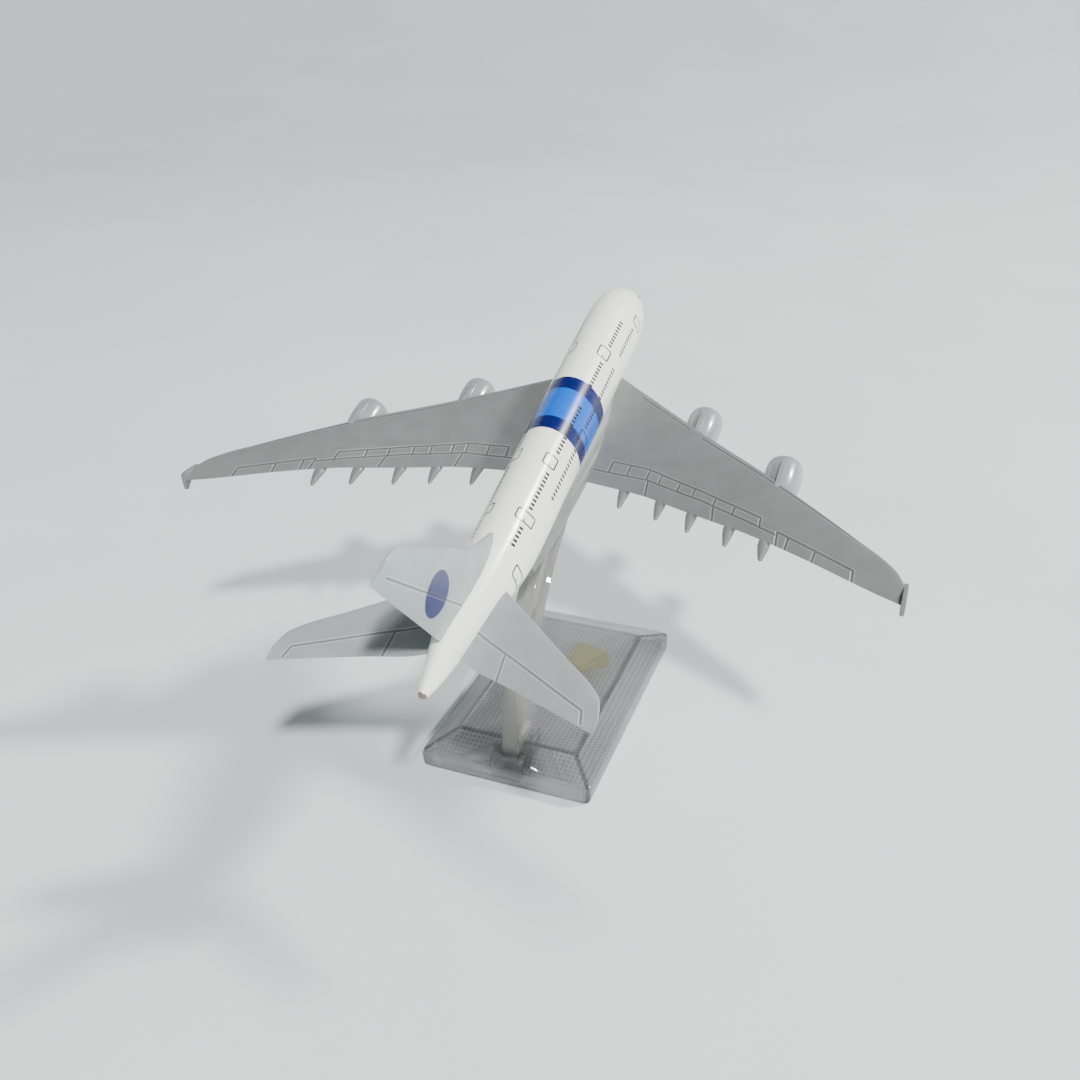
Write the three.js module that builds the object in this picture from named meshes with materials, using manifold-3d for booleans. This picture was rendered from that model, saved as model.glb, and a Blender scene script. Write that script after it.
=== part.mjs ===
// Desktop airliner model: a four-engined double-deck airliner on a clear plastic stand.
// Millimetres, +Z up, +Y towards the airliner's nose, +X to starboard.
import * as THREE from 'three';
import { mergeVertices } from 'three/addons/utils/BufferGeometryUtils.js';
import Module from 'manifold-3d';

const wasm = await Module();
wasm.setup();

// ---- driving dimensions ----
const GAP = 0.3;                 // clearance between pieces that touch
const PITCH = THREE.MathUtils.degToRad(20);  // nose-up attitude on the stand
const DATUM_STATION = 68;        // distance aft of the nose of the airliner's own origin
const DATUM_HEIGHT = 80.1;       // height of that origin over the table
const DATUM_Y = -2;              // its place ahead of the middle of the base
const SHELL_WALL = 1.6;

// fuselage sections: station, half width, top, bottom
const FUSELAGE = [
  [0.8, 1.9, -0.6, -4.4], [2.2, 3.2, 1.2, -5.7], [4.5, 4.7, 3.4, -6.9], [7.5, 5.9, 5.7, -7.8],
  [11, 6.9, 7.6, -8.5], [15, 7.5, 8.7, -8.9], [20, 7.8, 9.2, -9.1], [30, 7.85, 9.3, -9.2],
  [60, 7.85, 9.3, -9.2], [95, 7.85, 9.3, -9.2], [105, 7.7, 9.3, -8.4], [115, 7.1, 9.2, -6.6],
  [125, 5.9, 8.9, -4.2], [134, 4.5, 8.2, -2.1], [142, 3.0, 7.0, -0.3], [148, 1.8, 5.6, 1.3],
  [151, 1.0, 4.7, 2.7],
];
const NOSE_TIP = [0, -2.6];      // station, height
const TAIL_TIP = [151.4, 3.7];
const HOLLOW_FROM = 11;          // the shell is hollow between these stations
const HOLLOW_TO = 134;
const BELLY_OPENING = { from: 46, to: 80, halfWidth: 5, top: -5 };

// wing-body fairing sections: station, half width, top, bottom
const FAIRING = [
  [27, 3.0, -7.6, -9.9], [33, 7.3, -4.6, -10.5], [40, 8.9, -3.2, -11.0], [50, 9.5, -2.4, -11.2],
  [62, 9.6, -1.4, -11.2], [74, 9.5, -0.2, -11.2], [84, 9.1, 0.6, -10.9], [94, 8.7, 0.8, -10.1],
  [101, 8.2, 0.2, -8.9], [106, 7.0, -2.2, -8.6],
];

// wing sections: distance from the centre plane, leading and trailing edge stations,
// height of the chord line, greatest thickness
const WING = [
  [5, 30.5, 72.4, -7.1, 4.8], [10, 34.1, 73.3, -6.9, 4.4], [17.5, 40, 75.0, -6.0, 3.6],
  [25, 46, 77.0, -5.0, 3.0], [34, 53, 80.4, -3.9, 2.5], [43, 60, 84.0, -2.5, 2.1],
  [52, 67.1, 87.7, -0.9, 1.8], [60, 73.5, 91.2, 0.1, 1.6], [69, 80.6, 95.3, 0.9, 1.35],
  [77, 87, 99.1, 1.5, 1.15], [83, 91.8, 101.8, 1.9, 1.0], [86, 95.0, 103.0, 2.1, 0.9],
  [88, 98.6, 103.9, 2.2, 0.8],
];
const WING_FENCE = {
  x: 88.2, thickness: 0.8, outline: [[97.4, 2.3], [103.4, 4.9], [104.4, 2.2], [104.8, -1.4], [102.4, 0.4]],
};
const FLAP_TRACKS = [            // distance out and length of each flap-track fairing
  [19.6, 11], [29.7, 11], [38.2, 11], [48.0, 10.5], [56.8, 10],
];
const FLAP_TRACK_DROP = 1.1;     // how far their axes hang below the wing's chord line
const WING_TONGUE = { from: 6.6, to: 14, start: 50, length: 16, height: 2, z: -7.2 };

// tailplane sections, as the wing's
const TAILPLANE = [
  [1.5, 115.4, 138.6, 2.3, 2.2], [6.5, 119.5, 141, 2.3, 2.0], [16, 127.1, 144.2, 3.1, 1.6],
  [26, 135.1, 147.7, 3.8, 1.2], [33, 140.7, 150.2, 4.3, 0.95], [35.4, 143.6, 151.1, 4.4, 0.85],
  [36.3, 147.2, 151.4, 4.5, 0.75],
];
const TAILPLANE_TAB = { from: 2.2, to: 12, start: 127, length: 8, height: 0.9, z: 2.3 };

// fin sections: height, leading and trailing edge stations, greatest thickness
const FIN = [
  [4, 104, 138.6, 2.8], [7.8, 107, 139.8, 2.8], [9.2, 109.2, 140.5, 2.7], [12.5, 115.6, 142, 2.5],
  [16.5, 121.4, 143.8, 2.3], [24, 128.4, 147.2, 1.9], [33, 136.8, 151.3, 1.5], [39.5, 142.8, 154.2, 1.2],
  [41.4, 145.4, 155.1, 1.1], [42.2, 148.4, 155.5, 1.0],
];
const FIN_TAB = { start: 121, length: 12, thickness: 1.2, bottom: 5.4 };

// engines: distance out, station of the intake lip, height of the axis
const ENGINES = { inner: [32.2, 41.3, -9.0], outer: [56.2, 60.2, -4.9] };
// nacelle walls: distance behind the lip, radius; the outside, then the inside
const COWL_OUTSIDE = [[0, 4.0], [0.5, 4.35], [2.5, 4.6], [6, 4.55], [9, 4.1], [11.2, 3.45]];
const COWL_INSIDE = [[11.2, 3.1], [9, 3.5], [4, 3.75], [1.2, 3.5], [0.3, 3.75]];
const FAN = { radius: 3.35, behind: 2.6, thickness: 0.9, spinner: 1.1 };
const CORE = [[3.9, 0], [3.9, 2.3], [9, 2.2], [12.4, 1.5], [14.4, 0]];
const PYLON_THICKNESS = 1.3;

// stand: half width, half length, heights
const BASE = { x: 23, y: 39.3, rim: 4.7, corner: 1.9, plateauX: 16.3, plateauY: 30.2, top: 7.8, wall: 1.7 };
const ARM_THICKNESS = 4.4;
const ARM_WEB = 2.2;
const ARM_FOOT = { y: -29.5, halfLength: 5.6, bottom: 1.6 };
const ARM_FRONT = [[-23.9, 12], [-22.8, 20], [-20.3, 28], [-16.6, 35.8], [-12.6, 41.8], [-8.2, 47],
  [-3, 51.9], [3, 57.2], [8.2, 63]];
const ARM_REAR = [[-10.4, 61.5], [-17.5, 54.5], [-24, 47], [-29.6, 38.5], [-33.4, 29], [-34.9, 20],
  [-35.1, 12]];
const ARM_TOP = { front: 8.4, rear: -6.4 };   // ends of the saddle, ahead of the datum station
const PEG = { length: 8, thickness: 2.4, height: 4.4, ahead: 1 };
const SCREW = { stations: [41, 88], headRadius: 1.5, headHeight: 0.9, shankRadius: 0.75, shankLength: 5 };

// ---- helpers ----
const at = (x, station, z) => new THREE.Vector3(x, DATUM_STATION - station, z);
const signedVolume = (positions, faces) => {
  let sum = 0;
  const [a, b, c] = [new THREE.Vector3(), new THREE.Vector3(), new THREE.Vector3()];
  for (let i = 0; i < faces.length; i += 3) {
    a.fromArray(positions, faces[i] * 3);
    b.fromArray(positions, faces[i + 1] * 3);
    c.fromArray(positions, faces[i + 2] * 3);
    sum += a.dot(b.cross(c));
  }
  return sum;
};

// A closed skin over rings of points, with a cap at each end.
function loft(rings, firstTip, lastTip) {
  const count = rings[0].length;
  const centre = (ring) => ring.reduce((sum, p) => sum.add(p), new THREE.Vector3()).divideScalar(count);
  const points = [...rings.flat(), firstTip ?? centre(rings[0]), lastTip ?? centre(rings[rings.length - 1])];
  const faces = [];
  for (let ring = 0; ring + 1 < rings.length; ring++) {
    for (let i = 0; i < count; i++) {
      const a = ring * count + i;
      const b = ring * count + (i + 1) % count;
      faces.push(a, b, b + count, a, b + count, a + count);
    }
  }
  const last = (rings.length - 1) * count;
  for (let i = 0; i < count; i++) {
    const next = (i + 1) % count;
    faces.push(points.length - 2, next, i, points.length - 1, last + i, last + next);
  }
  const positions = points.flatMap((p) => p.toArray());
  if (signedVolume(positions, faces) < 0) faces.reverse();
  const geometry = new THREE.BufferGeometry();
  geometry.setAttribute('position', new THREE.Float32BufferAttribute(positions, 3));
  geometry.setIndex(faces);
  return geometry;
}

function solid(geometry) {
  const bare = geometry.clone();
  bare.deleteAttribute('normal');
  bare.deleteAttribute('uv');
  const merged = mergeVertices(bare, 1e-4);
  return new wasm.Manifold(new wasm.Mesh({
    numProp: 3,
    vertProperties: new Float32Array(merged.attributes.position.array),
    triVerts: new Uint32Array(merged.index.array),
  }));
}

function geometryOf(body) {
  const mesh = body.getMesh();
  const geometry = new THREE.BufferGeometry();
  geometry.setAttribute('position', new THREE.BufferAttribute(new Float32Array(mesh.vertProperties), 3));
  geometry.setIndex(new THREE.BufferAttribute(new Uint32Array(mesh.triVerts), 1));
  return geometry;
}

function box(sizeX, sizeY, sizeZ, x, y, z) {
  return solid(new THREE.BoxGeometry(sizeX, sizeY, sizeZ).translate(x, y, z));
}

// A plate in the plane of symmetry: an outline of [y, z] points given a thickness across x.
function plate(outline, thickness, x = 0) {
  const shape = new THREE.Shape(outline.map(([y, z]) => new THREE.Vector2(y, z)));
  const geometry = new THREE.ExtrudeGeometry(shape, { depth: thickness, bevelEnabled: false });
  const axes = new THREE.Matrix4().makeBasis(
    new THREE.Vector3(0, 1, 0), new THREE.Vector3(0, 0, 1), new THREE.Vector3(1, 0, 0));
  return solid(geometry.applyMatrix4(axes).translate(x - thickness / 2, 0, 0));
}

// An egg-shaped section, widest a little below its middle.
function eggRing(station, halfWidth, top, bottom, sides = 24) {
  const waist = (top + bottom) / 2 - 0.05 * (top - bottom);
  return Array.from({ length: sides }, (_, i) => {
    const angle = 2 * Math.PI * i / sides;
    const reach = Math.sin(angle) > 0 ? top - waist : waist - bottom;
    return at(halfWidth * Math.cos(angle), station, waist + reach * Math.sin(angle));
  });
}

// A streamlined section in outline order, as fractions of chord and thickness.
const AEROFOIL = [[0, 0], [0.03, 0.42], [0.12, 0.82], [0.3, 1], [0.55, 0.78], [0.8, 0.38], [1, 0.06],
  [1, -0.06], [0.8, -0.3], [0.55, -0.6], [0.3, -0.8], [0.12, -0.7], [0.03, -0.38]];
function surfaceRing([x, front, rear, z, thickness], grow = 0) {
  return AEROFOIL.map(([along, up]) => at(
    x, front - grow + along * (rear - front + 2 * grow), z + up * (thickness / 2 + grow)));
}
function finRing([z, front, rear, thickness]) {
  return AEROFOIL.map(([along, up]) => at(up * thickness / 2 * 1.1, front + along * (rear - front), z));
}

const mirrored = (body) => body.mirror([1, 0, 0]);
const largest = (body) => body.decompose().sort((a, b) => b.volume() - a.volume())[0];

// ---- airliner ----
function fuselageSkin(grow) {
  const rings = FUSELAGE.map(([s, w, top, bottom]) => eggRing(s, w + grow, top + grow, bottom - grow));
  return solid(loft(rings, at(0, NOSE_TIP[0] - grow, NOSE_TIP[1]), at(0, TAIL_TIP[0] + grow, TAIL_TIP[1])));
}

function fuselageShell(outside) {
  const rings = FUSELAGE.filter(([s]) => s >= HOLLOW_FROM && s <= HOLLOW_TO)
    .map(([s, w, top, bottom]) => eggRing(s, w - SHELL_WALL, top - SHELL_WALL, bottom + SHELL_WALL));
  const { from, to, halfWidth, top } = BELLY_OPENING;
  const opening = box(2 * halfWidth, to - from, 8, 0, DATUM_STATION - (from + to) / 2, top - 4);
  return outside.subtract(solid(loft(rings))).subtract(opening);
}

const fairingSkin = (grow) => solid(loft(FAIRING.map(([s, w, top, bottom]) => eggRing(
  s, w + grow, top + grow, bottom - grow))));

function tongue(spec, grow) {
  return box(spec.to - spec.from + 2 * grow, spec.length + 2 * grow, spec.height + 2 * grow,
    (spec.from + spec.to) / 2, DATUM_STATION - spec.start - spec.length / 2, spec.z);
}

// The wing's section at any distance out, as [x, front, rear, z, thickness].
function wingSection(x) {
  const outer = WING.findIndex(([distance]) => distance >= x);
  const [inboard, outboard] = [WING[outer - 1], WING[outer]];
  const along = (x - inboard[0]) / (outboard[0] - inboard[0]);
  return inboard.map((value, i) => value + along * (outboard[i] - value));
}

// A canoe-shaped flap-track fairing that sticks out behind the trailing edge.
function flapTrack(x, length) {
  const [, , rear, chordHeight] = wingSection(x);
  const tail = rear + 4;
  const z = chordHeight - FLAP_TRACK_DROP;
  const form = [[0, 0.15, 0], [0.2, 0.8, 0], [0.5, 1, 0], [0.75, 0.8, 0.25], [0.93, 0.4, 0.6]];
  const rings = form.map(([along, size, rise]) => Array.from({ length: 8 }, (_, i) => {
    const angle = 2 * Math.PI * i / 8;
    return at(x + 0.95 * size * Math.cos(angle), tail - length * (1 - along),
      z + rise + 1.05 * size * Math.sin(angle));
  }));
  return solid(loft(rings, undefined, at(x, tail, z + 0.9)));
}

function wingBody(neighbours) {
  const outline = WING_FENCE.outline.map(([station, z]) => [DATUM_STATION - station, z]);
  let wing = solid(loft(WING.map((section) => surfaceRing(section))));
  wing = wing.add(plate(outline, WING_FENCE.thickness, WING_FENCE.x));
  for (const track of FLAP_TRACKS) wing = wing.add(flapTrack(...track));
  return wing.subtract(neighbours).add(tongue(WING_TONGUE, 0));
}

function tailplaneBody(neighbours) {
  const skin = solid(loft(TAILPLANE.map((section) => surfaceRing(section))));
  return skin.subtract(neighbours).add(tongue(TAILPLANE_TAB, 0));
}

function finTab(grow) {
  const { start, length, thickness, bottom } = FIN_TAB;
  const height = 8;
  return box(thickness + 2 * grow, length + 2 * grow, height + 2 * grow,
    0, DATUM_STATION - start - length / 2, bottom + height / 2);
}

// Turned pieces: a profile of [distance behind the lip, radius] spun about the engine's axis.
function turned(profile, [x, lip, z]) {
  const points = profile.map(([along, radius]) => new THREE.Vector2(radius, -along));
  return new THREE.LatheGeometry(points.reverse(), 20).translate(x, DATUM_STATION - lip, z);
}

function engine([x, lip, z], wingClearance) {
  const place = (profile, grow = 0) => {
    const rows = profile.map(([along, radius]) => [along, Math.max(0, radius + (radius > 0 ? grow : 0))]);
    return solid(turned(rows, [x, lip, z]));
  };
  const cowlProfile = [...COWL_OUTSIDE, ...COWL_INSIDE, COWL_OUTSIDE[0]];
  const cowlFilled = [[-GAP, 0], ...COWL_OUTSIDE, [11.2 + GAP, 3.45], [11.2 + GAP, 0]];
  const { radius, behind, thickness, spinner } = FAN;
  const fan = [[behind - spinner, 0], [behind - 0.5, 0.55], [behind, 0.9], [behind, radius],
    [behind + thickness, radius], [behind + thickness, 0]];
  const [, wingFront, , wingHeight] = wingSection(x);
  const stations = [[lip + 1.6, z + 4.2], [lip + 6, z + 5.1],
    [wingFront - 1, Math.max(wingHeight + 0.4, z + 5)], [wingFront + 3, wingHeight],
    [wingFront + 9, wingHeight - 0.8], [wingFront + 4, z + 2.4], [lip + 9, z + 2.6]];
  const outline = stations.map(([station, height]) => [DATUM_STATION - station, height]);
  const pylon = plate(outline, PYLON_THICKNESS, x).subtract(place(cowlFilled, GAP)).subtract(wingClearance);
  return {
    nacelle: place(cowlProfile).subtract(wingClearance),
    fan: place(fan),
    exhaust_cone: place(CORE),
    pylon: largest(pylon),
  };
}

function screw(station, grow) {
  const { headRadius, headHeight, shankRadius, shankLength } = SCREW;
  const bottom = -11.3;
  const rows = [[0, 0], [0, headRadius], [headHeight, headRadius], [headHeight, shankRadius],
    [shankLength, shankRadius], [shankLength + 0.6, 0]];
  const points = rows.map(([up, radius]) => new THREE.Vector2(
    radius > 0 ? radius + grow : 0, up + (up > headHeight ? grow : up > 0 ? grow : -grow)));
  const spun = new THREE.LatheGeometry(points, 12).rotateX(Math.PI / 2);
  return solid(spun.translate(0, DATUM_STATION - station, bottom));
}

// ---- stand ----
function roundedRing(halfX, halfY, corner, z) {
  const perCorner = 4;
  const points = [];
  for (let quarter = 0; quarter < 4; quarter++) {
    const signX = quarter === 0 || quarter === 3 ? 1 : -1;
    const signY = quarter < 2 ? 1 : -1;
    for (let i = 0; i <= perCorner; i++) {
      const angle = (quarter + i / perCorner) * Math.PI / 2;
      points.push(new THREE.Vector3(signX * (halfX - corner) + corner * Math.cos(angle),
        signY * (halfY - corner) + corner * Math.sin(angle), z));
    }
  }
  return points;
}

function basePlinth() {
  const { x, y, rim, corner, plateauX, plateauY, top, wall } = BASE;
  const outside = solid(loft([roundedRing(x, y, corner, 0), roundedRing(x, y, corner, rim),
    roundedRing(plateauX, plateauY, 1.2, top)]));
  const inside = solid(loft([roundedRing(x - wall, y - wall, corner - wall, -1),
    roundedRing(x - wall, y - wall, corner - wall, rim - wall),
    roundedRing(plateauX - 0.4, plateauY - 0.4, 0.8, top - wall)]));
  const { y: footY, halfLength, bottom } = ARM_FOOT;
  const sleeveWall = 1.4;
  const sleeve = box(ARM_THICKNESS + 2 * (GAP + sleeveWall), 2 * (halfLength + GAP + sleeveWall), top,
    0, footY, bottom - 1 + top / 2).intersect(outside);
  const slot = box(ARM_THICKNESS + 2 * GAP, 2 * (halfLength + GAP), 20, 0, footY, bottom + 10 - GAP);
  return outside.subtract(inside).add(sleeve).subtract(slot);
}

// A point given in the airliner's own axes, as [y, z] in the stand's.
function fromAirliner(ahead, height) {
  return [DATUM_Y + ahead * Math.cos(PITCH) - height * Math.sin(PITCH),
    DATUM_HEIGHT + ahead * Math.sin(PITCH) + height * Math.cos(PITCH)];
}

function standArm() {
  const { y, halfLength, bottom } = ARM_FOOT;
  const saddle = -11.2 - GAP;
  const outline = [[y - halfLength, bottom], [y + halfLength, bottom], ...ARM_FRONT,
    fromAirliner(ARM_TOP.front, saddle), fromAirliner(ARM_TOP.rear, saddle), ...ARM_REAR];
  const rimWidth = 1.5;
  const shrink = ([py, pz], [cy, cz]) => [py + Math.sign(cy - py) * rimWidth, pz];
  const front = ARM_FRONT.slice(0, -1).map((p) => shrink(p, [-100, 0]));
  const rear = ARM_REAR.slice(1).map((p) => shrink(p, [100, 0]));
  const pocket = [...front, ...rear];
  const pocketDepth = (ARM_THICKNESS - ARM_WEB) / 2;
  let arm = plate(outline, ARM_THICKNESS);
  for (const side of [-1, 1]) {
    arm = arm.subtract(plate(pocket, pocketDepth + 1, side * (ARM_WEB / 2 + (pocketDepth + 1) / 2)));
  }
  const [pegY, pegZ] = fromAirliner(PEG.ahead, saddle + PEG.height / 2 - 0.5);
  const peg = new THREE.BoxGeometry(PEG.thickness, PEG.length, PEG.height + 1).rotateX(PITCH);
  return arm.add(solid(peg.translate(0, pegY, pegZ)));
}

function pegClearance() {
  return box(PEG.thickness + 2 * GAP, PEG.length + 2 * GAP, 10, 0, PEG.ahead, -12 + 5);
}

function priceSticker() {
  const outline = [[-5, 8], [4.5, 6], [7.5, -1], [0.5, -7], [-6, -4]];
  const shape = new THREE.Shape(outline.map(([x, y]) => new THREE.Vector2(x, y)));
  const label = new THREE.ExtrudeGeometry(shape, { depth: 0.25, bevelEnabled: false });
  return label.translate(4.5, 14, BASE.top - BASE.wall - GAP - 0.25);
}

// ---- assembly ----
const model = new THREE.Group();
const airliner = new THREE.Group();
airliner.rotation.x = PITCH;
airliner.position.set(0, DATUM_Y, DATUM_HEIGHT);
model.add(airliner);

const PAINT = {
  white: { color: 0xe2e5db, roughness: 0.25, metalness: 0.1 },
  grey: { color: 0x9aa1a3, roughness: 0.35, metalness: 0.2 },
  paleGrey: { color: 0xb4bbc0, roughness: 0.35, metalness: 0.15 },
  fin: { color: 0xc8d0d0, roughness: 0.3, metalness: 0.1 },
  dark: { color: 0x3c4044, roughness: 0.5, metalness: 0.4 },
  steel: { color: 0x8c8f92, roughness: 0.35, metalness: 0.9 },
  clear: { color: 0xb9bfbf, roughness: 0.1, metalness: 0 },
  paper: { color: 0xbebe8c, roughness: 0.8, metalness: 0 },
};

function addPiece(parent, name, geometry, finish) {
  const mesh = new THREE.Mesh(geometry, new THREE.MeshStandardMaterial(PAINT[finish]));
  mesh.name = name;
  parent.add(mesh);
}

const outside = fuselageSkin(0);
const nearFuselage = fuselageSkin(GAP);
const nearFairing = fairingSkin(GAP).add(nearFuselage);
let shell = fuselageShell(outside).subtract(finTab(GAP)).subtract(pegClearance());
let fairing = fairingSkin(0).subtract(nearFuselage).subtract(pegClearance());
for (const station of SCREW.stations) {
  shell = shell.subtract(screw(station, GAP));
  fairing = fairing.subtract(screw(station, GAP));
  addPiece(airliner, `belly_screw_${station === SCREW.stations[0] ? 'front' : 'rear'}`,
    geometryOf(screw(station, 0)), 'steel');
}
const wingSlot = tongue(WING_TONGUE, GAP);
const tabSlot = tongue(TAILPLANE_TAB, GAP);
fairing = fairing.subtract(wingSlot).subtract(mirrored(wingSlot));
shell = shell.subtract(tabSlot).subtract(mirrored(tabSlot)).subtract(wingSlot).subtract(mirrored(wingSlot));
addPiece(airliner, 'fuselage_shell', geometryOf(shell), 'white');
addPiece(airliner, 'belly_fairing', geometryOf(fairing), 'grey');

const fin = solid(loft(FIN.map(finRing))).subtract(nearFuselage).add(finTab(0));
addPiece(airliner, 'fin', geometryOf(fin), 'fin');

const wingClearance = solid(loft(WING.map((section) => surfaceRing(section, GAP))));
const sides = { right: (body) => body, left: mirrored };
for (const [side, place] of Object.entries(sides)) {
  addPiece(airliner, `${side}_wing`, geometryOf(place(wingBody(nearFairing))), 'grey');
  addPiece(airliner, `${side}_tailplane`, geometryOf(place(tailplaneBody(nearFuselage))), 'paleGrey');
  for (const [position, placeOfEngine] of Object.entries(ENGINES)) {
    for (const [piece, body] of Object.entries(engine(placeOfEngine, wingClearance))) {
      const finish = piece === 'nacelle' || piece === 'pylon' ? 'grey' : 'dark';
      addPiece(airliner, `${side}_${position}_${piece}`, geometryOf(place(body)), finish);
    }
  }
}

addPiece(model, 'stand_base', geometryOf(basePlinth()), 'clear');
addPiece(model, 'stand_arm', geometryOf(standArm()), 'clear');
addPiece(model, 'price_sticker', priceSticker(), 'paper');

// the origin lies under the middle of the whole outline, on the table
model.updateMatrixWorld(true);
const extent = new THREE.Box3().setFromObject(model, true);
model.position.y = -(extent.min.y + extent.max.y) / 2;

export default model;
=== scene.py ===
import math

import bmesh
import bpy
import numpy as np
from mathutils import Matrix, Vector


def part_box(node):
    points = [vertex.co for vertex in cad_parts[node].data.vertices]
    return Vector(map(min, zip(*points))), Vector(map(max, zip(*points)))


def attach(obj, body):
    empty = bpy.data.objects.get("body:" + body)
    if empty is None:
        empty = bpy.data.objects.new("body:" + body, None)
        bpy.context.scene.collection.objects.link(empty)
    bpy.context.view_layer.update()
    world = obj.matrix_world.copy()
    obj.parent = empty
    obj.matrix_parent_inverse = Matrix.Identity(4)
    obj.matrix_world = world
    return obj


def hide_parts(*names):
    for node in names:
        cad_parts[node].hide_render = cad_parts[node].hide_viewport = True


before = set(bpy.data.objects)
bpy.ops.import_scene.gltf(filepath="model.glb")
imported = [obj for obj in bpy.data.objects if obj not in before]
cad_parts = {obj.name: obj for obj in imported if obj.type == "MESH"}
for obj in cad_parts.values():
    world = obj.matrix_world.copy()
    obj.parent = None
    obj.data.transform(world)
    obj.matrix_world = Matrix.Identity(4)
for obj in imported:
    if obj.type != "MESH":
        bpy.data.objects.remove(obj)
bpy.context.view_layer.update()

MM, PER_METRE = 0.001, 1000
PITCH = math.radians(20)
NOSE_AHEAD = 68            # mm from the airliner's origin forward to its nose
ORIGIN_BACK, ORIGIN_HEIGHT = 2, 80.1       # mm behind the base's middle, mm over the table
LOW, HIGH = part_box("stand_base")
BASE_Y = (LOW[1] + HIGH[1]) / 2
TABLE = LOW[2]             # the height that the base stands on
DATUM = Vector((0, BASE_Y - ORIGIN_BACK * MM, TABLE + ORIGIN_HEIGHT * MM))


# ---------- geometry helpers ----------
SAME_POINT = 1e-7          # points closer than this, in metres, become one


def turns(count):
    """Evenly spaced angles, once round."""
    return [2 * math.pi * k / count for k in range(count)]


def craft(x, station, z):
    """A point given in mm in the airliner's own axes; stations run back from the nose."""
    ahead, up = (NOSE_AHEAD - station) * MM, z * MM
    return (x * MM,
            DATUM.y + ahead * math.cos(PITCH) - up * math.sin(PITCH),
            DATUM.z + ahead * math.sin(PITCH) + up * math.cos(PITCH))


def stand(x, y, z):
    """A point of the stand, measured in mm from the middle of the base's underside."""
    return (x * MM, BASE_Y + y * MM, TABLE + z * MM)


def smooth_curve(xs, ys):
    """A monotone cubic through the points, so that it never overshoots them."""
    xs, ys = np.array(xs, float), np.array(ys, float)
    steps, slopes = np.diff(xs), np.diff(ys) / np.diff(xs)
    tangents = np.zeros(len(xs))
    tangents[0], tangents[-1] = slopes[0], slopes[-1]
    for i in range(1, len(xs) - 1):
        if slopes[i - 1] * slopes[i] > 0:
            w1, w2 = 2 * steps[i] + steps[i - 1], steps[i] + 2 * steps[i - 1]
            tangents[i] = (w1 + w2) / (w1 / slopes[i - 1] + w2 / slopes[i])

    def at(x):
        x = min(max(x, xs[0]), xs[-1])
        i = min(max(int(np.searchsorted(xs, x)) - 1, 0), len(xs) - 2)
        t = (x - xs[i]) / steps[i]
        return float((2 * t**3 - 3 * t**2 + 1) * ys[i] + (t**3 - 2 * t**2 + t) * steps[i] * tangents[i]
                     + (3 * t**2 - 2 * t**3) * ys[i + 1] + (t**3 - t**2) * steps[i] * tangents[i + 1])
    return at


def columns(table, key=lambda value: value):
    """One smooth curve per column of a table, against its first column."""
    keys = [key(row[0]) for row in table]
    return [smooth_curve(keys, [row[i] for row in table]) for i in range(1, len(table[0]))]


class Shape:
    """Closed skins gathered into one mesh."""

    def __init__(self):
        self.points, self.faces = [], []

    def loft(self, rings, first_tip=None, last_tip=None):
        """A skin through the rings, each end closed towards a tip or the middle of its ring."""
        start, count = len(self.points), len(rings[0])
        for ring in rings:
            self.points.extend(tuple(p) for p in ring)
        for r in range(len(rings) - 1):
            for i in range(count):
                a, b = start + r * count + i, start + r * count + (i + 1) % count
                self.faces.append((a, b, b + count, a + count))
        for ring_index, tip, flip in ((0, first_tip, True), (len(rings) - 1, last_tip, False)):
            centre = tip or tuple(np.mean(np.array(rings[ring_index]), axis=0))
            self.points.append(tuple(centre))
            for i in range(count):
                a = start + ring_index * count + i
                b = start + ring_index * count + (i + 1) % count
                self.faces.append((b, a, len(self.points) - 1) if flip else (a, b, len(self.points) - 1))
        return self

    def torus_like(self, rings):
        """A skin whose last ring joins its first, such as a turned wall."""
        start, count = len(self.points), len(rings[0])
        for ring in rings:
            self.points.extend(tuple(p) for p in ring)
        for r in range(len(rings)):
            for i in range(count):
                j, s = (i + 1) % count, (r + 1) % len(rings)
                self.faces.append((start + r * count + i, start + r * count + j,
                                   start + s * count + j, start + s * count + i))
        return self

    def build(self, name, sharp_deg=35):
        """The mesh object, shaded smooth except along edges that bend by more than sharp_deg."""
        mesh = bpy.data.meshes.new(name)
        bm = bmesh.new()
        verts = [bm.verts.new(p) for p in self.points]
        for face in self.faces:
            bm.faces.new([verts[i] for i in face])
        bmesh.ops.remove_doubles(bm, verts=bm.verts, dist=SAME_POINT)
        bmesh.ops.recalc_face_normals(bm, faces=bm.faces)
        for face in bm.faces:
            face.smooth = True
        for edge in bm.edges:
            if len(edge.link_faces) == 2 and edge.calc_face_angle(0) > math.radians(sharp_deg):
                edge.smooth = False
        bm.to_mesh(mesh)
        bm.free()
        obj = bpy.data.objects.new(name, mesh)
        bpy.context.scene.collection.objects.link(obj)
        return obj


def cut(obj, cutter, operation="DIFFERENCE"):
    """Cuts or joins another solid into obj, and takes that solid away."""
    modifier = obj.modifiers.new("cut", "BOOLEAN")
    modifier.object, modifier.operation, modifier.solver = cutter, operation, "EXACT"
    bpy.context.view_layer.update()
    evaluated = obj.evaluated_get(bpy.context.evaluated_depsgraph_get())
    mesh = bpy.data.meshes.new_from_object(evaluated)
    obj.modifiers.clear()
    obj.data = mesh
    bpy.data.objects.remove(cutter)
    return obj


def block(low, high, place):
    """A rectangular cutter between two corners, put in place by craft or stand."""
    outline = ((low[0], low[1]), (high[0], low[1]), (high[0], high[1]), (low[0], high[1]))
    rings = [[place(x, y, z) for x, y in outline] for z in (low[2], high[2])]
    return Shape().loft(rings).build("cutter")


def claim(obj, body, slot, *nodes):
    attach(obj, body)
    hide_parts(*nodes)
    return obj


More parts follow.
